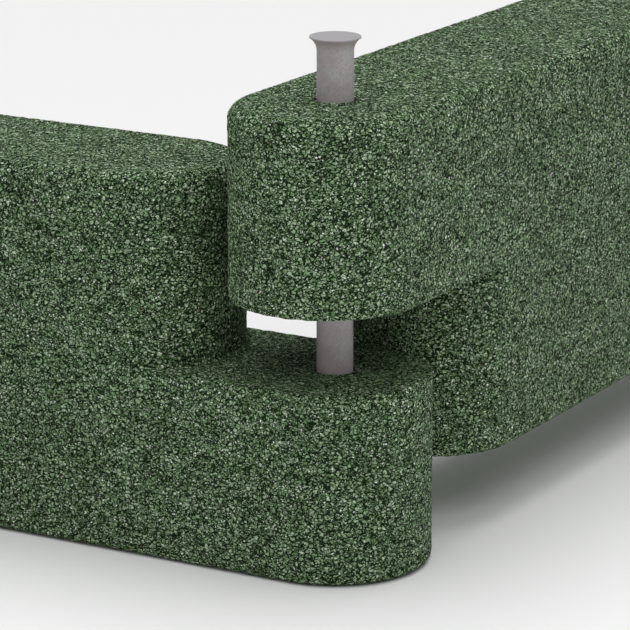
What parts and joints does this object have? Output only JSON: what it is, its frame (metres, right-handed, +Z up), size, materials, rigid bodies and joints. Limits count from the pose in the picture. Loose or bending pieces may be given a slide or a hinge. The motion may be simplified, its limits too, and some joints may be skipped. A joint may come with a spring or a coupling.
{
  "type": "lapped edging block corner",
  "caption": "Corner of two rubber-granulate edging blocks with lapped tongues, joined by a flare-headed pin",
  "frame": {"origin": "on the pin axis, at the ground under the left block's lower tongue", "axes": "+Z up along the pin; the left block runs along -X, the right block along +Y"},
  "size_m": [1, 1, 0.408],
  "materials": {
    "granulate": "bonded green rubber granulate, coarse open surface",
    "sleeve_plastic": "dark extruded tube",
    "pin_metal": "dull grey, finely scratched"
  },
  "bodies": {
    "left": {"left_block": "granulate", "left_lower_sleeve": "sleeve_plastic", "left_upper_sleeve": "sleeve_plastic"},
    "lifted_sleeve": {"right_upper_sleeve": "sleeve_plastic"},
    "right": {"right_block": "granulate", "right_lower_sleeve": "sleeve_plastic"},
    "pin": {"connecting_pin": "pin_metal"}
  },
  "joints": [
    {"name": "block_lift", "type": "slide", "parent": "left", "child": "lifted_sleeve", "axis": [0, 0, 1], "range_m": [-0.0595, 0.25]},
    {"name": "block_swing", "type": "hinge", "parent": "lifted_sleeve", "child": "right", "pos_m": [0, 0, 0.285], "axis": [0, 0, 1], "range_deg": [-190, 10]},
    {"name": "pin_slide", "type": "slide", "parent": "lifted_sleeve", "child": "pin", "axis": [0, 0, 1], "range_m": [-0.042, 0.25]}
  ]
}
